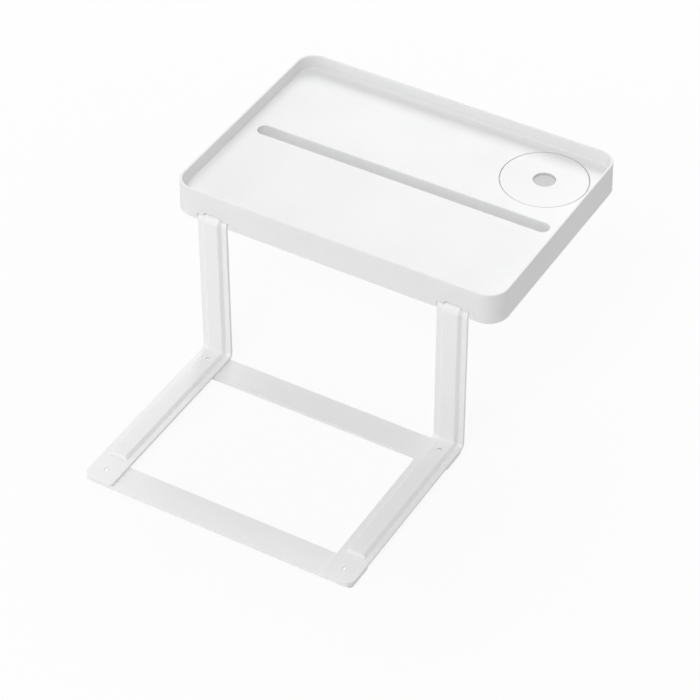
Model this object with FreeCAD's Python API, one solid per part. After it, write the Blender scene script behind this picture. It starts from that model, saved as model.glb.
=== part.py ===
import FreeCAD, Part
import math
import os

os.makedirs("parts", exist_ok=True)

# A bedside shelf: a moulded tray on two bent strip brackets, whose legs and crossbars lie under the mattress.
# Millimetres. +Z is up, +Y points from the bed towards the tray, and +X runs along the tray's long side.
# The origin is the middle of the whole object's footprint, at the level that it stands on.

# Strip brackets
strip_width = 32.0
strip_thickness = 3.0
bracket_inset = 45.5
leg_reach = 211.0
arm_reach = 118.0
arm_rise = 7.0
leg_end_corner = 9.0
leg_inner_corner = 3.0
arm_end_corner = 6.0
strip_edge_round = 0.5
lower_bend_inner = 3.4
upper_bend_inner = 2.2

# Rib pressed along the middle of each strip
rib_height = 3.0
rib_base_width = 21.0
rib_top_width = 15.0
rib_top_round = 1.6
rib_foot_round = 1.2
rib_hollow_round = 0.8
rib_end_run = 1.6
leg_flat_end = 35.2
arm_flat_end = 33.0

# Crossbars under the legs
bar_width = 31.5
bar_thickness = 2.5
front_bar_corner = 9.0
rear_bar_corner = 4.0
bar_inner_corner = 2.0
bar_edge_round = 0.5
rear_bar_setback = 1.2

# Anti-slip pads under the crossbars
pad_length = 50.0
pad_thickness = 1.5
pad_front_inset = 2.0
pad_back_inset = 0.5
pad_end_inset = 1.0
pad_corner = 4.0
pad_hole_radius = 6.0

# Tray
tray_top_height = 198.0
tray_width = 350.0
tray_depth = 250.0
tray_height = 33.0
tray_corner = 20.0
tray_wall = 2.0
tray_gap_to_upright = 2.5
skirt_flare = 0.9
skirt_edge_round = 0.6
rim_width = 2.4
rim_round = 1.0
rim_depth = 14.5
rim_draft = 0.4
floor_thickness = 2.2
floor_round = 1.2
notch_side_gap = 1.3
notch_top_gap = 0.3
notch_rib_gap = 0.4
notch_round = 0.4

# Slot for a tablet or a book
slot_end_margin = 15.5
slot_width = 14.4
slot_depth = 15.0
slot_wall = 1.8
slot_centre_reach = 133.8
slot_edge_round = 0.9

# Cup well with its lid
well_end_margin = 54.1
well_reach = 199.9
well_radius = 40.0
well_depth = 16.5
well_wall = 1.8
well_round = 3.0
ledge_thickness = 2.0
lid_radius = 42.9
lid_thickness = 2.5
lid_gap = 0.8
lid_edge_round = 0.4
lid_hole_radius = 11.0
lid_hole_round = 0.5
lid_ring_height = 3.0
lid_ring_wall = 1.6
lid_ring_clearance = 0.4

# Finger cup held under the lid's hole, with a plug that fills the hole up to the finger's recess
cup_radius = 18.0
cup_flange_thickness = 1.2
cup_clearance = 0.05
plug_clearance = 0.1
plug_round = 0.2
finger_recess = 1.8
socket_wall = 1.4
socket_height = 2.0

# Stiffening ribs under the tray's floor
web_thickness = 1.8
web_height = 4.0
channel_height = 11.0
channel_gap = 0.6
web_spacing = 62.0
near_web_reach = 62.0

# Screws and inserts, M4
thread_radius = 2.0
thread_clearance = 0.05
clearance_hole_radius = 2.25
countersunk_radius = 3.8
countersunk_rim = 0.25
head_clearance = 0.1
head_recess = 0.15
front_tip_recess = 0.1
rear_tip_recess = 0.1
tip_chamfer = 0.4
pan_radius = 4.0
pan_height = 2.4
pan_round = 0.8
socket_flats = 2.5
socket_depth = 1.3
tray_screw_length = 8.0
near_screw_reach = 23.0
insert_radius = 2.8
insert_length = 5.5
insert_clearance = 0.02
insert_groove_depth = 0.25
insert_groove_width = 0.9
boss_radius = 5.2
boss_hole_spare = 0.4

# Allowance by which cutting shapes run past what they cut, and the size below which two places are the same
overrun = 1.0
TINY = 1e-6
NEAR = 1e-3

# Places worked out from the sizes
bracket_pitch = tray_width - 2 * bracket_inset
slot_length = tray_width - 2 * slot_end_margin
well_x = tray_width / 2 - well_end_margin
tray_back_reach = tray_gap_to_upright + tray_depth + skirt_flare
upright_y = (leg_reach - tray_back_reach) / 2
bar_bottom = pad_thickness
leg_bottom = bar_bottom + bar_thickness
leg_top = leg_bottom + strip_thickness
skirt_bottom = tray_top_height - tray_height
tray_floor = tray_top_height - rim_depth
floor_underside = tray_floor - floor_thickness
arm_top = skirt_bottom + arm_rise
arm_bottom = arm_top - strip_thickness
rib_top_on_arm = arm_top + rib_height
front_bar_y = upright_y - leg_reach + bar_width / 2
rear_bar_y = upright_y - rear_bar_setback - bar_width / 2
bar_length = bracket_pitch + strip_width
slot_y = upright_y + slot_centre_reach
well_y = upright_y + well_reach
near_screw_y = upright_y + near_screw_reach
far_screw_y = upright_y + arm_reach - arm_flat_end / 2
tray_y = upright_y + tray_gap_to_upright + tray_depth / 2
well_floor = tray_floor - well_depth
lid_underside = tray_floor - lid_thickness
SIDES = {"left": -bracket_pitch / 2, "right": bracket_pitch / 2}


def vector(x, y, z):
    return FreeCAD.Vector(x, y, z)


def rounded_outline(points, radii):
    """Closed wire through the points, with each corner rounded by its radius."""
    edges = []
    first = last = None
    count = len(points)
    for i, (corner, radius) in enumerate(zip(points, radii)):
        if radius == 0:
            start = end = corner
        else:
            before = (points[i - 1] - corner).normalize()
            after = (points[(i + 1) % count] - corner).normalize()
            half_angle = before.getAngle(after) / 2
            start = corner + before * (radius / math.tan(half_angle))
            end = corner + after * (radius / math.tan(half_angle))
            inward = (before + after).normalize()
            middle = corner + inward * (radius / math.sin(half_angle) - radius)
        if last is not None:
            edges.append(Part.LineSegment(last, start).toShape())
        else:
            first = start
        if radius > 0:
            edges.append(Part.Arc(start, middle, end).toShape())
        last = end
    edges.append(Part.LineSegment(last, first).toShape())
    return Part.Wire(edges)


def rectangle_outline(x_size, y_size, z, radii, x=0.0, y=0.0):
    """Rounded rectangle in a level plane, its corners counted from low x and low y, anticlockwise."""
    if not isinstance(radii, (list, tuple)):
        radii = [radii] * 4
    x0, x1 = x - x_size / 2, x + x_size / 2
    y0, y1 = y - y_size / 2, y + y_size / 2
    corners = [vector(x0, y0, z), vector(x1, y0, z), vector(x1, y1, z), vector(x0, y1, z)]
    return rounded_outline(corners, radii)


def slab(x_size, y_size, bottom, top, radii, x=0.0, y=0.0):
    face = Part.Face(rectangle_outline(x_size, y_size, bottom, radii, x, y))
    return face.extrude(vector(0, 0, top - bottom))


def block(x0, x1, y0, y1, z0, z1):
    return Part.makeBox(x1 - x0, y1 - y0, z1 - z0, vector(x0, y0, z0))


def cylinder(radius, bottom, top, x=0.0, y=0.0):
    return Part.makeCylinder(radius, top - bottom, vector(x, y, bottom))


def turned(profile, x=0.0, y=0.0):
    """Solid of revolution about a vertical axis, from points given as (radius, height)."""
    points = [vector(x + r, y, z) for r, z in profile]
    points.append(points[0])
    face = Part.Face(Part.makePolygon(points))
    return face.revolve(vector(x, y, 0), vector(0, 0, 1), 360)


def hexagon_socket(bottom, top, x, y):
    corner = socket_flats / math.sqrt(3)
    points = []
    for i in range(7):
        angle = math.radians(60 * i)
        points.append(vector(x + corner * math.cos(angle), y + corner * math.sin(angle), bottom))
    return Part.Face(Part.makePolygon(points)).extrude(vector(0, 0, top - bottom))


def outset_at(z):
    """How far the skirt stands out from the rim's outline at height z."""
    return skirt_flare * (tray_top_height - z) / tray_height


def tray_section(z, inset):
    out = outset_at(z) - inset
    return rectangle_outline(tray_width + 2 * out, tray_depth + 2 * out, z, tray_corner + out, 0, tray_y)


def stadium(length, width, bottom, top, y):
    """Solid with a round-ended long outline, centred on (0, y)."""
    r = width / 2
    x = length / 2 - r
    edges = [
        Part.LineSegment(vector(-x, y - r, bottom), vector(x, y - r, bottom)).toShape(),
        Part.Arc(vector(x, y - r, bottom), vector(x + r, y, bottom), vector(x, y + r, bottom)).toShape(),
        Part.LineSegment(vector(x, y + r, bottom), vector(-x, y + r, bottom)).toShape(),
        Part.Arc(vector(-x, y + r, bottom), vector(-x - r, y, bottom), vector(-x, y - r, bottom)).toShape(),
    ]
    return Part.Face(Part.Wire(edges)).extrude(vector(0, 0, top - bottom))


def level_edges(shape, z):
    """Edges that lie wholly in the level plane at z."""
    return [e for e in shape.Edges if abs(e.BoundBox.ZMin - z) < NEAR and abs(e.BoundBox.ZMax - z) < NEAR]


# Brackets

def rib_face(shrink, base, place):
    """Cross-section of the pressed rib, which starts a little below its base.

    shrink narrows it all over, base is the height of the surface that it rises from, and place maps
    (across, up) to a point. The full rib has a hollow round at each foot, and the narrowed one has sharp feet.
    """
    half_base = rib_base_width / 2 - shrink
    half_top = rib_top_width / 2 - shrink
    top = base + rib_height
    low = base - overrun
    crown = [place(-half_base, base), place(-half_top, top), place(half_top, top), place(half_base, base)]
    if shrink > 0:
        corners = [place(-half_base, low)] + crown + [place(half_base, low)]
        return Part.Face(rounded_outline(corners, [0, 0, rib_hollow_round, rib_hollow_round, 0, 0]))
    wide = half_base + overrun
    corners = [place(-wide, low), place(-wide, base)] + crown + [place(wide, base), place(wide, low)]
    radii = [0, 0, rib_foot_round, rib_top_round, rib_top_round, rib_foot_round, 0, 0]
    return Part.Face(rounded_outline(corners, radii))


def strip_outline(x):
    """Side outline of a flat bent strip: leg, lower bend, upright, upper bend and arm."""
    y = upright_y
    t = strip_thickness
    low_in = lower_bend_inner
    low_out = lower_bend_inner + t
    up_in = upper_bend_inner
    up_out = upper_bend_inner + t
    corners = [
        vector(x, y - leg_reach, leg_bottom), vector(x, y + t, leg_bottom), vector(x, y + t, arm_bottom),
        vector(x, y + arm_reach, arm_bottom), vector(x, y + arm_reach, arm_top), vector(x, y, arm_top),
        vector(x, y, leg_top), vector(x, y - leg_reach, leg_top),
    ]
    return rounded_outline(corners, [0, low_out, up_in, 0, 0, up_out, low_in, 0])


def swept_rib(shrink, drop, leg_end, arm_end):
    """The rib, or with shrink and drop its hollow underside, along leg, upright, arm and both bends."""
    low_radius = lower_bend_inner
    up_radius = upper_bend_inner + strip_thickness
    low_centre_y = upright_y - low_radius
    low_centre_z = leg_top + low_radius
    up_centre_y = upright_y + up_radius
    up_centre_z = arm_top - up_radius
    leg = rib_face(shrink, leg_top - drop, lambda u, v: vector(u, low_centre_y, v))
    upright = rib_face(shrink, -drop, lambda u, v: vector(u, upright_y - v, low_centre_z))
    arm = rib_face(shrink, arm_top - drop, lambda u, v: vector(u, up_centre_y, v))
    pieces = [
        leg.extrude(vector(0, leg_end - low_centre_y, 0)),
        leg.revolve(vector(0, low_centre_y, low_centre_z), vector(1, 0, 0), 90),
        upright.extrude(vector(0, 0, up_centre_z - low_centre_z)),
        arm.revolve(vector(0, up_centre_y, up_centre_z), vector(1, 0, 0), 90),
        arm.extrude(vector(0, arm_end - up_centre_y, 0)),
    ]
    return pieces[0].fuse(pieces[1:])


def rib_end_trim(end_y, towards, base):
    """Wedge that gives the rib's end its slope; towards is +1 where the rib runs to higher y."""
    run = rib_end_run
    rise = rib_height
    far = end_y - towards * overrun * 2
    outline = [
        (far, base), (end_y, base), (end_y + towards * run, base + rise),
        (end_y + towards * run * 2, base + rise * 2), (far, base + rise * 2), (far, base),
    ]
    face = Part.Face(Part.makePolygon([vector(0, y, z) for y, z in outline]))
    face.translate(vector(-strip_width / 2, 0, 0))
    return face.extrude(vector(strip_width, 0, 0))


def is_upright_at(edge, x, y):
    """Whether an edge is straight, vertical and at the given place."""
    a, b = edge.Vertexes[0].Point, edge.Vertexes[-1].Point
    if abs(a.z - b.z) < TINY:
        return False
    return all(abs(end.x - x) < TINY and abs(end.y - y) < TINY for end in (a, b))


def round_corner(body, x, y, radius):
    return body.makeFillet(radius, [edge for edge in body.Edges if is_upright_at(edge, x, y)])


def make_strip(outer_sign):
    """The flat bent strip, with rounded free corners and softened edges, centred on x = 0.

    outer_sign is -1 or +1 for the side that faces away from the other bracket.
    """
    face = Part.Face(strip_outline(-strip_width / 2))
    body = face.extrude(vector(strip_width, 0, 0))
    outer_x = outer_sign * strip_width / 2
    body = round_corner(body, outer_x, upright_y - leg_reach, leg_end_corner)
    body = round_corner(body, -outer_x, upright_y - leg_reach, leg_inner_corner)
    body = round_corner(body, outer_x, upright_y + arm_reach, arm_end_corner)
    body = round_corner(body, -outer_x, upright_y + arm_reach, arm_end_corner)
    return body.makeFillet(strip_edge_round, [edge for edge in body.Edges if is_strip_rim(edge)])


def is_strip_rim(edge):
    """Whether an edge runs along the border of one of the strip's two broad surfaces."""
    box = edge.BoundBox
    side = strip_width / 2
    along_side = abs(abs(box.XMin) - side) < NEAR and box.XMax - box.XMin < NEAR
    leg_end = box.YMax < upright_y - leg_reach + leg_end_corner + NEAR
    arm_end = box.YMin > upright_y + arm_reach - arm_end_corner - NEAR
    level = box.ZMax - box.ZMin < NEAR
    if along_side:
        return box.YMax - box.YMin > NEAR or box.ZMax - box.ZMin > strip_thickness + NEAR
    return level and (leg_end or arm_end)


def bend_allowance(run):
    """How much further in the hollow's foot lies than the rib's, for a slope that runs in by run."""
    return strip_thickness * math.tan(math.atan2(rib_height, run) / 2)


def make_bracket(x):
    body = make_strip(math.copysign(1, x))
    side_allowance = bend_allowance((rib_base_width - rib_top_width) / 2)
    end_allowance = bend_allowance(rib_end_run)
    leg_foot = upright_y - leg_reach + leg_flat_end
    arm_foot = upright_y + arm_reach - arm_flat_end
    rib = swept_rib(0, 0, leg_foot - overrun, arm_foot + overrun)
    rib = rib.cut([rib_end_trim(leg_foot, 1, leg_top), rib_end_trim(arm_foot, -1, arm_top)])
    body = body.fuse(rib)
    leg_hollow = leg_foot + end_allowance
    arm_hollow = arm_foot - end_allowance
    hollow = swept_rib(side_allowance, strip_thickness, leg_hollow - overrun, arm_hollow + overrun)
    hollow = hollow.cut([
        rib_end_trim(leg_hollow, 1, leg_bottom), rib_end_trim(arm_hollow, -1, arm_bottom),
    ])
    body = body.cut(hollow)
    body.translate(vector(x, 0, 0))
    tapped = thread_radius + thread_clearance
    return body.cut([
        cylinder(tapped, leg_bottom - overrun, leg_top + overrun, x, front_bar_y),
        cylinder(tapped, leg_bottom - overrun, leg_top + rib_height + overrun, x, rear_bar_y),
        cylinder(clearance_hole_radius, arm_bottom - overrun, rib_top_on_arm + overrun, x, near_screw_y),
        cylinder(clearance_hole_radius, arm_bottom - overrun, arm_top + overrun, x, far_screw_y),
    ])


# Crossbars, pads and frame screws

def countersink(bottom, extra, x, y):
    """Conical seat for a countersunk head, widened by extra, with its wide end at the bottom."""
    wide = countersunk_radius + extra
    narrow = thread_radius
    rim = bottom + countersunk_rim
    return turned([
        (0, bottom - overrun), (wide, bottom - overrun), (wide, rim), (narrow, rim + wide - narrow),
        (0, rim + wide - narrow),
    ], x, y)


def make_crossbar(y, outer_corner, inner_corner):
    radii = [outer_corner, outer_corner, inner_corner, inner_corner]
    bar = slab(bar_length, bar_width, bar_bottom, leg_bottom, radii, 0, y)
    bar = bar.makeFillet(bar_edge_round, level_edges(bar, bar_bottom) + level_edges(bar, leg_bottom))
    cuts = []
    for x in SIDES.values():
        cuts.append(cylinder(clearance_hole_radius, bar_bottom - overrun, leg_bottom + overrun, x, y))
        cuts.append(countersink(bar_bottom + head_recess, head_clearance, x, y))
    return bar.cut(cuts)


def make_pad(side_sign, y):
    outer_end = bar_length / 2 - pad_end_inset
    x = side_sign * (outer_end - pad_length / 2)
    pad_width = bar_width - pad_front_inset - pad_back_inset
    pad_y = y + (pad_front_inset - pad_back_inset) / 2
    pad = slab(pad_length, pad_width, 0, bar_bottom, pad_corner, x, pad_y)
    screw_x = side_sign * bracket_pitch / 2
    return pad.cut(cylinder(pad_hole_radius, -overrun, bar_bottom + overrun, screw_x, y))


def make_frame_screw(x, y, tip):
    bottom = bar_bottom + head_recess
    rim = bottom + countersunk_rim
    shank_start = rim + countersunk_radius - thread_radius
    body = turned([
        (0, bottom), (countersunk_radius, bottom), (countersunk_radius, rim), (thread_radius, shank_start),
        (thread_radius, tip - tip_chamfer), (thread_radius - tip_chamfer, tip), (0, tip),
    ], x, y)
    return body.cut(hexagon_socket(bottom - overrun, bottom + socket_depth, x, y))


# Tray

def rim_section(z, inset):
    corner = tray_corner - inset
    return rectangle_outline(tray_width - 2 * inset, tray_depth - 2 * inset, z, corner, 0, tray_y)


def notch(x):
    """Opening in the bed-side skirt, stepped over the strip's rib."""
    half = strip_width / 2 + notch_side_gap
    half_base = rib_base_width / 2 + notch_rib_gap
    half_top = rib_top_width / 2 + notch_rib_gap
    low = skirt_bottom - overrun
    shoulder = arm_top + notch_top_gap
    crown = rib_top_on_arm + notch_top_gap
    start = upright_y - overrun
    points = [
        (-half, low), (half, low), (half, shoulder), (half_base, shoulder),
        (half_top, crown), (-half_top, crown), (-half_base, shoulder), (-half, shoulder),
    ]
    corners = [vector(x + u, start, z) for u, z in points]
    face = Part.Face(rounded_outline(corners, [0, 0] + [notch_round] * 6))
    length = tray_gap_to_upright + tray_wall + overrun * 2
    return face.extrude(vector(0, length, 0))


def make_tray():
    outer = Part.makeLoft([tray_section(skirt_bottom, 0), tray_section(tray_top_height, 0)], True, True)
    hollow = Part.makeLoft([
        tray_section(skirt_bottom - overrun, tray_wall), tray_section(floor_underside, tray_wall),
    ], True, True)
    recess_top = tray_top_height + overrun
    recess_draft_share = rim_draft / rim_depth
    recess = Part.makeLoft([
        rim_section(tray_floor, rim_width + rim_draft),
        rim_section(recess_top, rim_width - recess_draft_share * overrun),
    ], True, True)
    recess = recess.makeFillet(floor_round, level_edges(recess, tray_floor))
    shell = outer.cut([hollow, recess])
    shell = shell.makeFillet(rim_round, level_edges(shell, tray_top_height))
    shell = shell.makeFillet(skirt_edge_round, level_edges(shell, skirt_bottom))

    inside_x = tray_width / 2 - web_thickness / 2
    near_y = upright_y + tray_gap_to_upright + web_thickness / 2
    far_y = near_y + tray_depth - web_thickness
    web_bottom = floor_underside - web_height
    half_web = web_thickness / 2
    webs = []
    for x in (-web_spacing, 0, web_spacing):
        webs.append(block(x - half_web, x + half_web, near_y, far_y, web_bottom, floor_underside))
    for y in (upright_y + near_web_reach, well_y):
        webs.append(block(-inside_x, inside_x, y - half_web, y + half_web, web_bottom, floor_underside))
    channels = []
    half_channel = strip_width / 2 + channel_gap
    half_wall = half_channel + web_thickness
    wall_bottom = floor_underside - channel_height
    low = skirt_bottom - overrun
    channel_end = slot_y - slot_width / 2
    for x in SIDES.values():
        webs.append(block(x - half_wall, x + half_wall, near_y, channel_end, wall_bottom, floor_underside))
        inside = (x - half_channel, x + half_channel)
        channels.append(block(*inside, near_y - overrun, channel_end, low, floor_underside))
    under = webs[0].fuse(webs[1:]).cut(channels)

    pocket_bottom = tray_floor - slot_depth
    outer_length = slot_length + 2 * slot_wall
    outer_width = slot_width + 2 * slot_wall
    solids = [stadium(outer_length, outer_width, pocket_bottom - slot_wall, floor_underside, slot_y)]
    seat_radius = lid_radius + lid_gap
    seat_bottom = lid_underside - ledge_thickness
    solids.append(cylinder(well_radius + well_wall, well_floor - well_wall, floor_underside, well_x, well_y))
    solids.append(cylinder(seat_radius + well_wall, seat_bottom, floor_underside, well_x, well_y))
    holes = []
    for x in SIDES.values():
        for y, foot in ((near_screw_y, rib_top_on_arm), (far_screw_y, arm_top)):
            solids.append(cylinder(boss_radius, foot, floor_underside, x, y))
            hole_top = foot + insert_length + boss_hole_spare
            holes.append(cylinder(insert_radius + insert_clearance, foot - overrun, hole_top, x, y))
    body = shell.fuse([under] + solids)
    well = cylinder(well_radius, well_floor, tray_floor, well_x, well_y)
    well = well.makeFillet(well_round, level_edges(well, well_floor))
    slot = stadium(slot_length, slot_width, pocket_bottom, tray_floor + overrun, slot_y)
    seat = cylinder(seat_radius, lid_underside, tray_floor + overrun, well_x, well_y)
    body = body.cut(holes + [well, slot, seat] + [notch(x) for x in SIDES.values()])
    slot_edges = [e for e in level_edges(body, tray_floor) if within(e, slot_length, slot_width, slot_y)]
    body = body.makeFillet(slot_edge_round, slot_edges)
    return body.removeSplitter()


def within(edge, length, width, y):
    """Whether an edge lies inside or on a level rectangle about (0, y)."""
    box = edge.BoundBox
    in_x = max(abs(box.XMin), abs(box.XMax)) < length / 2 + NEAR
    return in_x and abs(box.YMin - y) < width / 2 + NEAR and abs(box.YMax - y) < width / 2 + NEAR


# Lid and finger cup

def make_lid():
    plate = cylinder(lid_radius, lid_underside, tray_floor, well_x, well_y)
    ring_outer = well_radius - lid_ring_clearance
    ring_inner = ring_outer - lid_ring_wall
    ring_bottom = lid_underside - lid_ring_height
    ring = cylinder(ring_outer, ring_bottom, lid_underside, well_x, well_y)
    ring = ring.cut(cylinder(ring_inner, ring_bottom - overrun, lid_underside, well_x, well_y))
    socket_radius = cup_radius + cup_clearance
    holder_bottom = lid_underside - socket_height
    holder = cylinder(socket_radius + socket_wall, holder_bottom, lid_underside, well_x, well_y)
    holder = holder.cut(cylinder(socket_radius, holder_bottom - overrun, lid_underside, well_x, well_y))
    lid = plate.fuse([ring, holder])
    lid = lid.cut(cylinder(lid_hole_radius, lid_underside - overrun, tray_floor + overrun, well_x, well_y))
    outer_edge = [e for e in level_edges(lid, tray_floor) if e.Curve.Radius > lid_radius - NEAR]
    lid = lid.makeFillet(lid_edge_round, outer_edge)
    hole_edge = [e for e in level_edges(lid, tray_floor) if e.Curve.Radius < lid_hole_radius + NEAR]
    return lid.makeFillet(lid_hole_round, hole_edge)


def make_finger_cup():
    seat = lid_underside
    bottom = seat - cup_flange_thickness
    plug_radius = lid_hole_radius - plug_clearance
    plug_top = tray_floor - finger_recess
    body = turned([
        (0, bottom), (cup_radius, bottom), (cup_radius, seat), (plug_radius, seat), (plug_radius, plug_top),
        (0, plug_top),
    ], well_x, well_y)
    return body.makeFillet(plug_round, level_edges(body, plug_top))


# Tray screws and inserts

def make_tray_screw(x, y, seat):
    """Pan-head screw whose head bears upwards on the seat level."""
    bottom = seat - pan_height
    tip = seat + tray_screw_length
    body = turned([
        (0, bottom), (pan_radius, bottom), (pan_radius, seat), (thread_radius, seat),
        (thread_radius, tip - tip_chamfer), (thread_radius - tip_chamfer, tip), (0, tip),
    ], x, y)
    rim = level_edges(body, bottom)
    body = body.makeFillet(pan_round, rim)
    return body.cut(hexagon_socket(bottom - overrun, bottom + socket_depth, x, y))


def make_insert(x, y, bottom):
    top = bottom + insert_length
    middle = bottom + insert_length / 2
    half_groove = insert_groove_width / 2
    waist = insert_radius - insert_groove_depth
    bore = thread_radius + thread_clearance
    low = middle - half_groove
    high = middle + half_groove
    return turned([
        (bore, bottom), (insert_radius, bottom), (insert_radius, low), (waist, low),
        (waist, high), (insert_radius, high), (insert_radius, top), (bore, top),
    ], x, y)


def export(name, shape):
    shape.exportStep("parts/" + name + ".step")


export("tray", make_tray())
export("cup_lid", make_lid())
export("finger_cup", make_finger_cup())
export("front_crossbar", make_crossbar(front_bar_y, front_bar_corner, bar_inner_corner))
export("rear_crossbar", make_crossbar(rear_bar_y, rear_bar_corner, rear_bar_corner))
rear_tip = leg_top + rib_height - rear_tip_recess
for side, x in SIDES.items():
    sign = math.copysign(1, x)
    export(side + "_bracket", make_bracket(x))
    export("front_" + side + "_pad", make_pad(sign, front_bar_y))
    export("rear_" + side + "_pad", make_pad(sign, rear_bar_y))
    export("front_" + side + "_frame_screw", make_frame_screw(x, front_bar_y, leg_top - front_tip_recess))
    export("rear_" + side + "_frame_screw", make_frame_screw(x, rear_bar_y, rear_tip))
    export("near_" + side + "_tray_screw", make_tray_screw(x, near_screw_y, rib_top_on_arm - strip_thickness))
    export("far_" + side + "_tray_screw", make_tray_screw(x, far_screw_y, arm_bottom))
    export("near_" + side + "_insert", make_insert(x, near_screw_y, rib_top_on_arm))
    export("far_" + side + "_insert", make_insert(x, far_screw_y, arm_top))
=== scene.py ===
import math

import bmesh
import bpy
from mathutils import Matrix, Vector


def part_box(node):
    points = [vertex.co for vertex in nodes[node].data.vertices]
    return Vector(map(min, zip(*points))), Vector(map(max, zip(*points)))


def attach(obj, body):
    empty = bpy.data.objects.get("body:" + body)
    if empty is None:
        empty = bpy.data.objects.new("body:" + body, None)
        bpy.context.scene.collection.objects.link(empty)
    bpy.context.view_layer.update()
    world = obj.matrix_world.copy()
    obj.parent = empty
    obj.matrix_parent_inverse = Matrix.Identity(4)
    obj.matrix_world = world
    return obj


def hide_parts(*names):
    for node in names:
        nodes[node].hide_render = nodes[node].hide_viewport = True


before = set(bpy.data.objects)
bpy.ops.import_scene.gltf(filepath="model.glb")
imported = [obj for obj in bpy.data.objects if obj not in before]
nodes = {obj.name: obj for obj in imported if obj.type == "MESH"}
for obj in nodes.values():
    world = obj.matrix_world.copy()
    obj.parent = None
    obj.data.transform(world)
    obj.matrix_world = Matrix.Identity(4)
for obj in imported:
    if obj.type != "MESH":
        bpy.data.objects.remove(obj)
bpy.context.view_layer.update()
MM = 0.001

# Where the camera stood, from the straight edges in the photograph
CAMERA_PLACE = (1.02368, -1.74023, 1.80841)
CAMERA_AZIMUTH = 30.22
CAMERA_ELEVATION = 41.08
CAMERA_ROLL = -0.078
CAMERA_LENS = 143.04
SHIFT = (-0.00076, 0.0007)


def make_camera():
    """Camera that frames the shelf as the photograph does."""
    data = bpy.data.cameras.new("camera")
    data.sensor_width = 36
    data.lens = CAMERA_LENS
    data.shift_x, data.shift_y = SHIFT
    data.clip_start, data.clip_end = 0.05, 60
    cam = bpy.data.objects.new("camera", data)
    bpy.context.scene.collection.objects.link(cam)
    a, e, r = (math.radians(v) for v in (CAMERA_AZIMUTH, CAMERA_ELEVATION, CAMERA_ROLL))
    back = Vector((math.sin(a) * math.cos(e), -math.cos(a) * math.cos(e), math.sin(e)))
    level = Vector((math.cos(a), math.sin(a), 0))
    steep = back.cross(level)
    right = level * math.cos(r) + steep * math.sin(r)
    up = steep * math.cos(r) - level * math.sin(r)
    turn = Matrix((right, up, back)).transposed().to_4x4()
    cam.matrix_world = Matrix.Translation(CAMERA_PLACE) @ turn
    bpy.context.scene.camera = cam


# Shared effects

class Wiring:
    """Short ways to add and join nodes in one node tree."""

    def __init__(self, tree):
        self.tree = tree

    def add(self, kind, **values):
        """New shader node with the settings given."""
        node = self.tree.nodes.new("ShaderNode" + kind)
        for key, value in values.items():
            setattr(node, key, value)
        return node

    def join(self, source, target):
        """Links an output to an input."""
        self.tree.links.new(source, target)

    def noise(self, where, scale, detail=2.0, rough=0.5):
        """Noise over the coordinates given, with its scale in waves to a metre."""
        node = self.add("TexNoise")
        node.inputs["Scale"].default_value = scale
        node.inputs["Detail"].default_value = detail
        node.inputs["Roughness"].default_value = rough
        self.join(where, node.inputs["Vector"])
        return node.outputs["Fac"]

    def spread(self, value, low, high, out_low=0.0, out_high=1.0):
        """Maps a socket's range from low to high onto the range from out_low to out_high."""
        node = self.add("MapRange")
        node.inputs["From Min"].default_value = low
        node.inputs["From Max"].default_value = high
        node.inputs["To Min"].default_value = out_low
        node.inputs["To Max"].default_value = out_high
        self.join(value, node.inputs["Value"])
        return node.outputs["Result"]

    def calc(self, operation, a, b):
        """Math node on a and b, each a number or a socket."""
        node = self.add("Math", operation=operation)
        for socket, value in zip(node.inputs, (a, b)):
            if isinstance(value, (int, float)):
                socket.default_value = value
            else:
                self.join(value, socket)
        return node.outputs[0]


def new_effect(name, inputs, outputs):
    """Empty node group with number sockets, for an effect that several materials share."""
    tree = bpy.data.node_groups.new(name, "ShaderNodeTree")
    for label, value in inputs:
        socket = tree.interface.new_socket(label, in_out="INPUT", socket_type="NodeSocketFloat")
        socket.default_value = value
    for label in outputs:
        tree.interface.new_socket(label, in_out="OUTPUT", socket_type="NodeSocketFloat")
    w = Wiring(tree)
    return w, tree.nodes.new("NodeGroupInput"), tree.nodes.new("NodeGroupOutput")


def make_edge_wear():
    """Mask that is 1 along worn convex edges and broken up by noise."""
    w, given, out = new_effect("edge_wear", [("Low", 0.52), ("High", 0.6), ("Break Up", 180.0)], ["Mask"])
    place = w.add("TexCoord").outputs["Object"]
    edge = w.add("MapRange")
    w.join(w.add("NewGeometry").outputs["Pointiness"], edge.inputs["Value"])
    w.join(given.outputs["Low"], edge.inputs["From Min"])
    w.join(given.outputs["High"], edge.inputs["From Max"])
    noise = w.add("TexNoise")
    noise.inputs["Detail"].default_value = 3.0
    w.join(place, noise.inputs["Vector"])
    w.join(given.outputs["Break Up"], noise.inputs["Scale"])
    patches = w.spread(noise.outputs["Fac"], 0.38, 0.62)
    w.join(w.calc("MULTIPLY", edge.outputs["Result"], patches), out.inputs["Mask"])
    return w.tree


def make_spark_grain():
    """Fine pits of a spark-eroded mould face, with their height and their darkening."""
    w, given, out = new_effect("spark_grain", [("Scale", 1800.0)], ["Height", "Pits"])
    place = w.add("TexCoord").outputs["Object"]
    cells = w.add("TexVoronoi", feature="SMOOTH_F1")
    cells.inputs["Smoothness"].default_value = 0.6
    w.join(place, cells.inputs["Vector"])
    w.join(given.outputs["Scale"], cells.inputs["Scale"])
    fine = w.add("TexNoise")
    fine.inputs["Detail"].default_value = 2.0
    w.join(place, fine.inputs["Vector"])
    w.join(w.calc("MULTIPLY", given.outputs["Scale"], 1.7), fine.inputs["Scale"])
    coarse = w.calc("MULTIPLY", cells.outputs["Distance"], 0.7)
    height = w.calc("ADD", coarse, w.calc("MULTIPLY", fine.outputs["Fac"], 0.5))
    w.join(height, out.inputs["Height"])
    w.join(w.spread(height, 0.35, 0.75), out.inputs["Pits"])
    return w.tree


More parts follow.
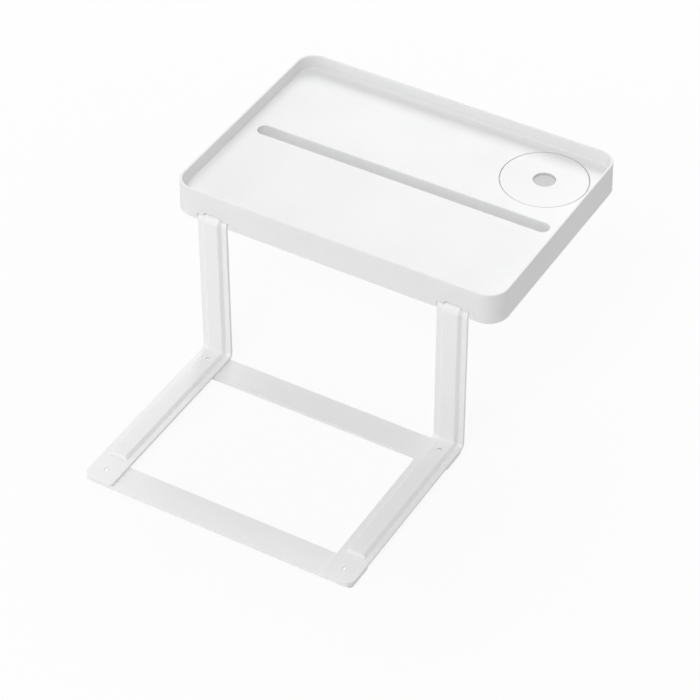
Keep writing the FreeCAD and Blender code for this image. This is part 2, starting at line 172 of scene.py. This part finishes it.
def make_handling():
    """Slow patches and thin scuffs where hands and cloths have passed."""
    sizes = [("Patch Scale", 14.0), ("Scuff Scale", 60.0)]
    w, given, out = new_effect("handling", sizes, ["Patches", "Scuffs"])
    place = w.add("TexCoord").outputs["Object"]
    slow = w.add("TexNoise")
    slow.inputs["Detail"].default_value = 4.0
    slow.inputs["Roughness"].default_value = 0.6
    w.join(place, slow.inputs["Vector"])
    w.join(given.outputs["Patch Scale"], slow.inputs["Scale"])
    stretch = w.add("Mapping")
    stretch.inputs["Scale"].default_value = (1.0, 9.0, 9.0)
    stretch.inputs["Rotation"].default_value = (0.0, 0.0, 0.5)
    w.join(place, stretch.inputs["Vector"])
    thin = w.add("TexNoise")
    thin.inputs["Detail"].default_value = 5.0
    thin.inputs["Roughness"].default_value = 0.7
    w.join(stretch.outputs["Vector"], thin.inputs["Vector"])
    w.join(given.outputs["Scuff Scale"], thin.inputs["Scale"])
    w.join(w.spread(slow.outputs["Fac"], 0.35, 0.65), out.inputs["Patches"])
    w.join(w.spread(thin.outputs["Fac"], 0.62, 0.72), out.inputs["Scuffs"])
    return w.tree


EDGE_WEAR = make_edge_wear()
SPARK_GRAIN = make_spark_grain()
HANDLING = make_handling()

# How far light spreads inside the white plastic
LIGHT_DEPTH = 2 * MM


class Finish:
    """One material under way: its shader, its wiring and the shared effects it uses."""

    def __init__(self, name, **shader_values):
        self.material = bpy.data.materials.new(name)
        self.material.use_nodes = True
        tree = self.material.node_tree
        self.w = Wiring(tree)
        self.shader = tree.nodes["Principled BSDF"]
        for label, value in shader_values.items():
            self.shader.inputs[label.replace("_", " ")].default_value = value
        self.place = self.w.add("TexCoord").outputs["Object"]

    def effect(self, tree, **values):
        """Places a shared effect with its own values, and gives its outputs."""
        node = self.w.add("Group")
        node.node_tree = tree
        for label, value in values.items():
            node.inputs[label.replace("_", " ")].default_value = value
        return node.outputs

    def blend(self, factor, plain, changed):
        """Colour that goes from plain to changed as the factor rises. Each is a colour or a socket."""
        node = self.w.add("Mix", data_type="RGBA")
        self.w.join(factor, node.inputs["Factor"])
        for socket, value in ((node.inputs[6], plain), (node.inputs[7], changed)):
            if isinstance(value, tuple):
                socket.default_value = value + (1.0,)
            else:
                self.w.join(value, socket)
        return node.outputs[2]

    def colour(self, socket):
        """Takes the base colour from a socket."""
        self.w.join(socket, self.shader.inputs["Base Color"])

    def rough(self, socket):
        """Takes the roughness from a socket."""
        self.w.join(socket, self.shader.inputs["Roughness"])

    def bump(self, height, distance, strength, below=None):
        """Relief so many metres high, over another relief if given."""
        node = self.w.add("Bump")
        node.inputs["Distance"].default_value = distance
        node.inputs["Strength"].default_value = strength
        self.w.join(height, node.inputs["Height"])
        if below is not None:
            self.w.join(below, node.inputs["Normal"])
        self.w.join(node.outputs["Normal"], self.shader.inputs["Normal"])
        return node.outputs["Normal"]


def moulded_white(name, colour, scuffed, grain_scale, grain_depth):
    """Satin white plastic from a spark-eroded mould, which light enters by about two millimetres."""
    f = Finish(name, IOR=1.5, Subsurface_Weight=0.4, Subsurface_Radius=(1.0, 1.0, 1.0),
               Subsurface_Scale=LIGHT_DEPTH)
    grain = f.effect(SPARK_GRAIN, Scale=grain_scale)
    touch = f.effect(HANDLING, Patch_Scale=11.0, Scuff_Scale=40.0)
    wear = f.effect(EDGE_WEAR, Low=0.53, High=0.62, Break_Up=150.0)
    pit = tuple(0.9 * v for v in colour)
    worn = tuple(min(1.04 * v, 0.95) for v in colour)
    toned = f.blend(f.w.spread(touch["Patches"], 0, 1, 0, 0.5), colour, scuffed)
    pitted = f.blend(f.w.spread(grain["Pits"], 0, 1, 0.25, 0.0), toned, pit)
    f.colour(f.blend(f.w.calc("MULTIPLY", wear["Mask"], 0.12), pitted, worn))
    base = f.w.spread(touch["Patches"], 0, 1, 0.44, 0.5)
    rubbed = f.w.calc("SUBTRACT", base, f.w.calc("MULTIPLY", touch["Scuffs"], 0.06))
    f.rough(f.w.calc("SUBTRACT", rubbed, f.w.calc("MULTIPLY", wear["Mask"], 0.1)))
    f.bump(grain["Height"], grain_depth, 0.5)
    return f.material


def powder_coated_white():
    """Thick white powder coat on steel: a low orange peel over a fine grit, thinner along the edges."""
    f = Finish("powder_coated_white", IOR=1.5)
    fresh, patched = (0.908, 0.909, 0.912), (0.884, 0.885, 0.888)
    speck, thin_edge = (0.832, 0.833, 0.836), (0.862, 0.863, 0.867)
    peel = f.w.noise(f.place, 420.0, detail=2.0, rough=0.45)
    grit = f.w.noise(f.place, 2600.0, detail=2.0, rough=0.6)
    touch = f.effect(HANDLING, Patch_Scale=9.0, Scuff_Scale=35.0)
    wear = f.effect(EDGE_WEAR, Low=0.54, High=0.66, Break_Up=120.0)
    toned = f.blend(f.w.spread(touch["Patches"], 0, 1, 0, 0.6), fresh, patched)
    speckled = f.blend(f.w.spread(grit, 0.35, 0.5, 0.2, 0.0), toned, speck)
    f.colour(f.blend(f.w.calc("MULTIPLY", wear["Mask"], 0.12), speckled, thin_edge))
    base = f.w.spread(peel, 0.3, 0.7, 0.4, 0.48)
    f.rough(f.w.calc("SUBTRACT", base, f.w.calc("MULTIPLY", touch["Scuffs"], 0.07)))
    f.bump(grit, 0.01 * MM, 0.5, below=f.bump(peel, 0.06 * MM, 0.45))
    return f.material


def cup_shade_grey():
    """Satin grey plastic of the finger cup, its grey set dark enough to paint the shade seen under the lid's
    hole.
    """
    f = Finish("cup_shade_grey", IOR=1.48)
    # These greys are partly painted shade: they darken the cup to the shade that lies under the lid's hole
    fresh, patched, pit = (0.567, 0.568, 0.572), (0.538, 0.539, 0.543), (0.485, 0.485, 0.49)
    grain = f.effect(SPARK_GRAIN, Scale=2400.0)
    touch = f.effect(HANDLING, Patch_Scale=60.0, Scuff_Scale=160.0)
    toned = f.blend(f.w.spread(touch["Patches"], 0, 1, 0, 0.6), fresh, patched)
    f.colour(f.blend(f.w.spread(grain["Pits"], 0, 1, 0.2, 0.0), toned, pit))
    f.rough(f.w.spread(touch["Scuffs"], 0, 1, 0.5, 0.42))
    f.bump(grain["Height"], 0.02 * MM, 0.5)
    return f.material


def zinc_plated():
    """Bright zinc over steel: pale blue-grey spangle, rubbed bright along the edges."""
    f = Finish("zinc_plated", Metallic=1.0)
    shaded, bright, rubbed = (0.7, 0.71, 0.73), (0.82, 0.83, 0.84), (0.88, 0.88, 0.88)
    spangle = f.w.noise(f.place, 1400.0, detail=4.0, rough=0.6)
    wear = f.effect(EDGE_WEAR, Low=0.55, High=0.68, Break_Up=700.0)
    tone = f.blend(f.w.spread(spangle, 0.35, 0.65), shaded, bright)
    f.colour(f.blend(f.w.calc("MULTIPLY", wear["Mask"], 0.6), tone, rubbed))
    dull = f.w.spread(spangle, 0.3, 0.7, 0.36, 0.5)
    f.rough(f.w.calc("SUBTRACT", dull, f.w.calc("MULTIPLY", wear["Mask"], 0.12)))
    f.bump(f.w.noise(f.place, 2600.0, detail=3.0), 0.01 * MM, 0.6)
    return f.material


def turned_brass():
    """Brass with the tool's fine rings and a few darker stains."""
    f = Finish("turned_brass", Metallic=1.0)
    clean, stained = (0.72, 0.52, 0.2), (0.5, 0.33, 0.13)
    rings = f.w.add("Mapping")
    rings.inputs["Scale"].default_value = (40.0, 40.0, 9000.0)
    f.w.join(f.place, rings.inputs["Vector"])
    tool = f.w.noise(rings.outputs["Vector"], 1.0, detail=1.0)
    stain = f.w.noise(f.place, 500.0, detail=3.0)
    f.colour(f.blend(f.w.spread(stain, 0.4, 0.65), clean, stained))
    f.rough(f.w.spread(tool, 0.3, 0.7, 0.24, 0.38))
    f.bump(tool, 0.008 * MM, 0.7)
    return f.material


def pad_rubber():
    """Milky silicone: fine parallel ribs, a matt skin and a little grey dust in the grooves."""
    f = Finish("pad_rubber", IOR=1.42)
    shaded, milky, dusty = (0.7, 0.7, 0.69), (0.78, 0.78, 0.77), (0.5, 0.49, 0.47)
    ribs = f.w.add("TexWave", wave_type="BANDS", bands_direction="DIAGONAL", wave_profile="SIN")
    ribs.inputs["Scale"].default_value = 330.0
    f.w.join(f.place, ribs.inputs["Vector"])
    skin = f.w.noise(f.place, 2400.0, detail=3.0, rough=0.6)
    dust = f.effect(HANDLING, Patch_Scale=90.0, Scuff_Scale=240.0)
    clean = f.blend(f.w.spread(skin, 0.35, 0.65), shaded, milky)
    groove = f.w.spread(ribs.outputs["Fac"], 0.0, 0.45, 0.6, 0.0)
    f.colour(f.blend(f.w.calc("MULTIPLY", groove, dust["Patches"]), clean, dusty))
    f.rough(f.w.spread(skin, 0.3, 0.7, 0.62, 0.78))
    f.bump(skin, 0.01 * MM, 0.5, below=f.bump(ribs.outputs["Fac"], 0.12 * MM, 0.8))
    return f.material


TRAY_WHITE = moulded_white("tray_white", (0.853, 0.854, 0.857), (0.838, 0.839, 0.842), 1700.0, 0.02 * MM)
LID_WHITE = moulded_white("lid_white", (0.857, 0.858, 0.861), (0.842, 0.843, 0.846), 2100.0, 0.014 * MM)
FRAME_WHITE = powder_coated_white()
CUP_SHADE_GREY = cup_shade_grey()
ZINC = zinc_plated()
TURNED_BRASS = turned_brass()
PAD_RUBBER = pad_rubber()


# Carried-over pieces get their finish

def dress(name, material):
    """Gives a carried-over node one finish."""
    mesh = nodes[name].data
    mesh.materials.clear()
    mesh.materials.append(material)


dress("tray", TRAY_WHITE)
dress("cup_lid", LID_WHITE)
dress("finger_cup", CUP_SHADE_GREY)
for name in ("left_bracket", "right_bracket", "front_crossbar", "rear_crossbar"):
    dress(name, FRAME_WHITE)


# New pieces

SOCKET_FLATS = 2.5 * MM
SOCKET_DEPTH = 1.3 * MM
THREAD_RADIUS = 1.98 * MM
THREAD_DEPTH = 0.38 * MM
THREAD_PITCH = 0.7 * MM
RING_STEPS = 48


def finished(name, bm, material, node, smooth_angle):
    """Turns a bmesh into a piece, smooth where it bends less than the angle. A node given is replaced."""
    bmesh.ops.remove_doubles(bm, verts=bm.verts, dist=1e-7)
    bmesh.ops.recalc_face_normals(bm, faces=bm.faces)
    mesh = bpy.data.meshes.new(name)
    bm.to_mesh(mesh)
    bm.free()
    mesh.materials.append(material)
    mesh.polygons.foreach_set("use_smooth", [True] * len(mesh.polygons))
    mesh.set_sharp_from_angle(angle=math.radians(smooth_angle))
    piece = bpy.data.objects.new(name, mesh)
    bpy.context.scene.collection.objects.link(piece)
    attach(piece, "shelf")
    if node:
        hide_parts(node)


def whole(bm):
    """All of a bmesh's geometry."""
    return bm.verts[:] + bm.edges[:] + bm.faces[:]


def open_edges(bm):
    """Edges that have a face on one side only."""
    return [edge for edge in bm.edges if edge.is_boundary]


def grow_ring(bm, edges, radius, z):
    """Extrudes a level ring about the Z axis to a new radius and height, and gives the new ring's edges."""
    new = bmesh.ops.extrude_edge_only(bm, edges=edges)["geom"]
    for vert in (v for v in new if isinstance(v, bmesh.types.BMVert)):
        away = Vector((vert.co.x, vert.co.y, 0)).normalized() * radius
        vert.co = (away.x, away.y, z)
    return [e for e in new if isinstance(e, bmesh.types.BMEdge)]


def screw_head(bm, profile, bottom):
    """Head with a hexagon socket. Profile is its rings' radius and height, from the face to the shank."""
    bmesh.ops.create_circle(bm, cap_ends=True, segments=6, radius=SOCKET_FLATS / math.sqrt(3))
    bmesh.ops.subdivide_edges(bm, edges=open_edges(bm), cuts=RING_STEPS // 6 - 1)
    bmesh.ops.translate(bm, verts=bm.verts, vec=(0, 0, bottom + SOCKET_DEPTH))
    walls = bmesh.ops.extrude_edge_only(bm, edges=open_edges(bm))["geom"]
    mouth = [v for v in walls if isinstance(v, bmesh.types.BMVert)]
    bmesh.ops.translate(bm, verts=mouth, vec=(0, 0, -SOCKET_DEPTH))
    mouth_edges = [e for e in walls if isinstance(e, bmesh.types.BMEdge)]
    face_radius = profile[0][0]
    face_ring = bmesh.ops.create_circle(bm, cap_ends=False, segments=RING_STEPS, radius=face_radius)["verts"]
    bmesh.ops.translate(bm, verts=face_ring, vec=(0, 0, bottom))
    edges = [e for e in bm.edges if e.is_wire]
    bmesh.ops.bridge_loops(bm, edges=mouth_edges + edges)
    for radius, z in profile[1:]:
        edges = grow_ring(bm, edges, radius, z)
    bmesh.ops.edgeloop_fill(bm, edges=edges)


def threaded_shank(bm, low, tip):
    """Thread from a toothed outline that climbs one pitch a turn, cut level, with a chamfered tip."""
    part = bmesh.new()
    top = tip - THREAD_DEPTH
    teeth = int((top - low) / THREAD_PITCH) + 5
    root = THREAD_RADIUS - THREAD_DEPTH
    crest = THREAD_RADIUS
    outline = []
    for tooth in range(teeth):
        z = low - 2.5 * THREAD_PITCH + tooth * THREAD_PITCH
        outline += [(root, z), (crest, z + 0.42 * THREAD_PITCH), (crest, z + 0.54 * THREAD_PITCH)]
    verts = [part.verts.new((r, 0, z)) for r, z in outline]
    edges = [part.edges.new(pair) for pair in zip(verts, verts[1:])]
    bmesh.ops.spin(part, geom=verts + edges, cent=(0, 0, 0), axis=(0, 0, 1),
                   dvec=(0, 0, THREAD_PITCH / RING_STEPS), angle=math.tau, steps=RING_STEPS)
    bmesh.ops.remove_doubles(part, verts=part.verts, dist=1e-6)
    for height, way in ((low, -1), (top, 1)):
        bmesh.ops.bisect_plane(part, geom=whole(part), plane_co=(0, 0, height), plane_no=(0, 0, way),
                               clear_outer=True)
    ends = bmesh.ops.holes_fill(part, edges=open_edges(part), sides=0)["faces"]
    tips = [face for face in ends if face.calc_center_median().z > (low + top) / 2]
    bmesh.ops.inset_region(part, faces=tips, thickness=THREAD_DEPTH, depth=0)
    bmesh.ops.translate(part, verts=list({v for face in tips for v in face.verts}), vec=(0, 0, THREAD_DEPTH))
    holder = bpy.data.meshes.new("shank")
    part.to_mesh(holder)
    part.free()
    bm.from_mesh(holder)
    bpy.data.meshes.remove(holder)


def middle_of(node):
    """A node's middle in x and y, and its bottom and top."""
    low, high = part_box(node)
    return (low[0] + high[0]) / 2, (low[1] + high[1]) / 2, low[2], high[2]


def make_frame_screw(node):
    """Countersunk socket screw that comes up through a crossbar."""
    x, y, bottom, tip = middle_of(node)
    bm = bmesh.new()
    face, head, shank = 3.62 * MM, 3.8 * MM, 2.0 * MM
    rim = bottom + 0.25 * MM
    neck = rim + 1.8 * MM
    profile = [(face, bottom), (head, bottom + 0.12 * MM), (head, rim), (shank, neck),
               (1.72 * MM, neck + 0.25 * MM)]
    screw_head(bm, profile, bottom)
    threaded_shank(bm, neck + 0.1 * MM, tip)
    bmesh.ops.translate(bm, verts=bm.verts, vec=(x, y, 0))
    finished(node + "_detailed", bm, ZINC, node, 30)


def make_tray_screw(node):
    """Pan-headed socket screw that comes up through an arm."""
    x, y, bottom, tip = middle_of(node)
    bm = bmesh.new()
    face, edge_round, shank = 3.2 * MM, 0.8 * MM, 1.9 * MM
    head = face + edge_round
    seat = bottom + 2.4 * MM
    profile = [(face, bottom)]
    for degrees in range(15, 91, 15):
        turn = math.radians(degrees)
        profile.append((face + edge_round * math.sin(turn), bottom + edge_round * (1 - math.cos(turn))))
    profile += [(head, seat - 0.1 * MM), (head - 0.1 * MM, seat), (shank, seat)]
    screw_head(bm, profile, bottom)
    threaded_shank(bm, seat - 0.1 * MM, tip)
    bmesh.ops.translate(bm, verts=bm.verts, vec=(x, y, 0))
    finished(node + "_detailed", bm, ZINC, node, 30)


def make_insert(node):
    """Knurled brass insert: two toothed bands that lean opposite ways, with a plain waist between them."""
    x, y, bottom, top = middle_of(node)
    bm = bmesh.new()
    teeth = 36
    bore, crest, root, waist = 2.05 * MM, 2.8 * MM, 2.62 * MM, 2.5 * MM
    # Each ring's height and radius, or which teeth stand out where it has no radius
    rings = [(bottom, waist, 0), (bottom + 0.25 * MM, None, 0), (bottom + 2.25 * MM, None, 1),
             (bottom + 2.4 * MM, waist, 0), (bottom + 3.1 * MM, waist, 0), (bottom + 3.25 * MM, None, 1),
             (top - 0.3 * MM, None, 0), (top, waist, 0), (top, bore, 0)]
    first = bmesh.ops.create_circle(bm, cap_ends=False, segments=teeth * 2, radius=bore)["verts"]
    bmesh.ops.translate(bm, verts=first, vec=(0, 0, bottom))
    edges = bm.edges[:]
    for z, radius, shift in rings:
        new = bmesh.ops.extrude_edge_only(bm, edges=edges)["geom"]
        edges = [e for e in new if isinstance(e, bmesh.types.BMEdge)]
        for vert in (v for v in new if isinstance(v, bmesh.types.BMVert)):
            angle = math.atan2(vert.co.y, vert.co.x)
            step = round(angle / math.tau * teeth * 2)
            reach = radius or (crest if (step + shift) % 2 else root)
            vert.co = (reach * math.cos(angle), reach * math.sin(angle), z)
    bmesh.ops.bridge_loops(bm, edges=open_edges(bm))
    bmesh.ops.translate(bm, verts=bm.verts, vec=(x, y, 0))
    finished(node + "_detailed", bm, TURNED_BRASS, node, 25)


PAD_CORNER = 4 * MM
PAD_ROLL = 0.35 * MM
PAD_HOLE_RADIUS = 6 * MM
# How far a crossbar's middle lies in front of its pads' middle
BAR_AHEAD = 0.75 * MM
# How far each bracket's middle lies from the shelf's
BRACKET_PLACE = 129.5 * MM


def make_pad(node, screw_x):
    """Soft pad with rounded corners, a rolled lower edge and a hole round the screw's head."""
    low, high = (Vector(v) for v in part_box(node))
    size = high - low
    middle = (low + high) / 2
    bm = bmesh.new()
    bmesh.ops.create_grid(bm, x_segments=1, y_segments=1, size=0.5)
    bmesh.ops.scale(bm, verts=bm.verts, vec=(size.x, size.y, 1))
    bmesh.ops.translate(bm, verts=bm.verts, vec=(middle.x, middle.y, high.z))
    bmesh.ops.bevel(bm, geom=bm.verts[:], offset=PAD_CORNER, offset_type="OFFSET", segments=8, profile=0.5,
                    affect="VERTICES", material=-1)
    bmesh.ops.delete(bm, geom=bm.faces[:], context="FACES_ONLY")
    hole = bmesh.ops.create_circle(bm, cap_ends=False, segments=RING_STEPS, radius=PAD_HOLE_RADIUS)["verts"]
    bmesh.ops.translate(bm, verts=hole, vec=(screw_x, middle.y - BAR_AHEAD, high.z))
    bmesh.ops.triangle_fill(bm, edges=bm.edges[:], use_beauty=True)
    down = bmesh.ops.extrude_face_region(bm, geom=bm.faces[:])["geom"]
    under = [v for v in down if isinstance(v, bmesh.types.BMVert)]
    bmesh.ops.translate(bm, verts=under, vec=(0, 0, -size.z))
    rim = [e for e in bm.edges if all(abs(v.co.z - low.z) < 1e-6 for v in e.verts)
           and any(abs(f.normal.z) < 0.5 for f in e.link_faces)]
    bmesh.ops.bevel(bm, geom=rim, offset=PAD_ROLL, offset_type="OFFSET", segments=3, profile=0.5,
                    affect="EDGES", material=-1)
    finished(node + "_soft", bm, PAD_RUBBER, node, 40)


TRAY_UNDERSIDE = 181.3 * MM
PIN_COLUMNS = (-150, -93, -31, 31, 93, 150)
PIN_ROWS = (22, 66, 165, 212)
PIN_RADIUS = 3 * MM
MARK_ROOT = 0.05 * MM
MARK_HEIGHT = 0.17 * MM
MARK_RIM = 0.25 * MM
MARK_DISH = 0.08 * MM


def make_ejector_marks():
    """Faint rings that the mould's ejector pins leave under the tray's floor."""
    bm = bmesh.new()
    for x in PIN_COLUMNS:
        for y in PIN_ROWS:
            over_the_well = x > 60 and y > 130
            if over_the_well:
                continue
            ring = bmesh.ops.create_circle(bm, cap_ends=True, segments=40, radius=PIN_RADIUS)["verts"]
            bmesh.ops.translate(bm, verts=ring, vec=(x * MM, y * MM, TRAY_UNDERSIDE + MARK_ROOT))
            disc = [f for f in bm.faces if all(v in ring for v in f.verts)]
            raised = bmesh.ops.extrude_face_region(bm, geom=disc)["geom"]
            verts = [v for v in raised if isinstance(v, bmesh.types.BMVert)]
            bmesh.ops.translate(bm, verts=verts, vec=(0, 0, -MARK_HEIGHT))
            caps = [f for f in raised if isinstance(f, bmesh.types.BMFace)]
            bmesh.ops.inset_region(bm, faces=caps, thickness=MARK_RIM, depth=-MARK_DISH)
    finished("ejector_marks", bm, TRAY_WHITE, None, 30)


for node in list(nodes):
    if node.endswith("_frame_screw"):
        make_frame_screw(node)
    elif node.endswith("_tray_screw"):
        make_tray_screw(node)
    elif node.endswith("_insert"):
        make_insert(node)
    elif node.endswith("_pad"):
        make_pad(node, math.copysign(BRACKET_PLACE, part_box(node)[0][0]))
make_ejector_marks()


# Floor, backdrop and light

# Strength of the even light from the studio's walls
STUDIO_EVEN = 0.5
# Share of plain white that the camera sees in the floor under the shelf
FLOOR_WHITE = 0.9
# Distances from the middle between which that share rises to 1
FADE_START, FADE_END = 0.3, 1.6
FLOOR_REACH = 15.0
# How far the floor lies under the pads, so that their faces don't share its plane
FLOOR_BELOW = 0.2 * MM
FLOOR_COLOUR = (0.86, 0.86, 0.86, 1)
PLAIN_WHITE = (1, 1, 1, 1)
# Each lamp's name, place, side and power
SOFTBOXES = [
    ("key_back_left", (-0.68, 2.33, 1.93), 1.3, 30.5),
    ("front_high", (0.0, -1.72, 2.56), 1.0, 25.6),
    ("front_left_near", (-1.1, -1.3, 0.55), 0.7, 4.6),
]


def seen_plain(w):
    """Socket that is 1 for what the camera sees, directly, in gloss or through glass."""
    path = w.add("LightPath")
    sent_on = w.calc("MAXIMUM", path.outputs["Is Glossy Ray"], path.outputs["Is Transmission Ray"])
    return w.calc("MAXIMUM", path.outputs["Is Camera Ray"], sent_on)


def make_floor():
    """Pale floor that keeps the shelf's shadow and fades to plain white away from it."""
    bm = bmesh.new()
    bmesh.ops.create_grid(bm, x_segments=1, y_segments=1, size=FLOOR_REACH)
    bmesh.ops.translate(bm, verts=bm.verts, vec=(0, 0, -FLOOR_BELOW))
    mesh = bpy.data.meshes.new("floor")
    bm.to_mesh(mesh)
    bm.free()
    floor = bpy.data.objects.new("floor", mesh)
    bpy.context.scene.collection.objects.link(floor)
    material = bpy.data.materials.new("pale_floor")
    material.use_nodes = True
    w = Wiring(material.node_tree)
    shader = material.node_tree.nodes["Principled BSDF"]
    shader.inputs["Base Color"].default_value = FLOOR_COLOUR
    shader.inputs["Roughness"].default_value = 0.9
    shader.inputs["Specular IOR Level"].default_value = 0.1
    shine = w.add("Emission")
    shine.inputs["Color"].default_value = PLAIN_WHITE
    away = w.add("VectorMath", operation="LENGTH")
    w.join(w.add("TexCoord").outputs["Object"], away.inputs[0])
    whiteness = w.spread(away.outputs["Value"], FADE_START, FADE_END, FLOOR_WHITE, 1.0)
    mix = w.add("MixShader")
    w.join(w.calc("MULTIPLY", seen_plain(w), whiteness), mix.inputs["Fac"])
    w.join(shader.outputs["BSDF"], mix.inputs[1])
    w.join(shine.outputs["Emission"], mix.inputs[2])
    out = material.node_tree.nodes["Material Output"]
    w.join(mix.outputs["Shader"], out.inputs["Surface"])
    mesh.materials.append(material)


def make_world():
    """Even studio walls: plain white to the camera and in gloss, and dimmer as the object's own light."""
    world = bpy.data.worlds.new("white_studio")
    bpy.context.scene.world = world
    world.use_nodes = True
    w = Wiring(world.node_tree)
    walls = world.node_tree.nodes["Background"]
    walls.inputs["Color"].default_value = PLAIN_WHITE
    walls.inputs["Strength"].default_value = STUDIO_EVEN
    white = w.add("Background")
    white.inputs["Color"].default_value = PLAIN_WHITE
    white.inputs["Strength"].default_value = 1.0
    mix = w.add("MixShader")
    w.join(seen_plain(w), mix.inputs["Fac"])
    w.join(walls.outputs["Background"], mix.inputs[1])
    w.join(white.outputs["Background"], mix.inputs[2])
    w.join(mix.outputs["Shader"], world.node_tree.nodes["World Output"].inputs["Surface"])


SHELF_MIDDLE = Vector((0, 0, 0.12))


def softbox(name, place, size, power):
    """Square lamp that faces the shelf's middle."""
    data = bpy.data.lights.new(name, "AREA")
    data.size = size
    data.energy = power
    lamp = bpy.data.objects.new(name, data)
    bpy.context.scene.collection.objects.link(lamp)
    lamp.location = place
    lamp.rotation_mode = "QUATERNION"
    lamp.rotation_quaternion = (SHELF_MIDDLE - Vector(place)).to_track_quat("-Z", "Y")


make_floor()
make_world()
for box in SOFTBOXES:
    softbox(*box)

bpy.context.scene.view_settings.view_transform = "Standard"
make_camera()
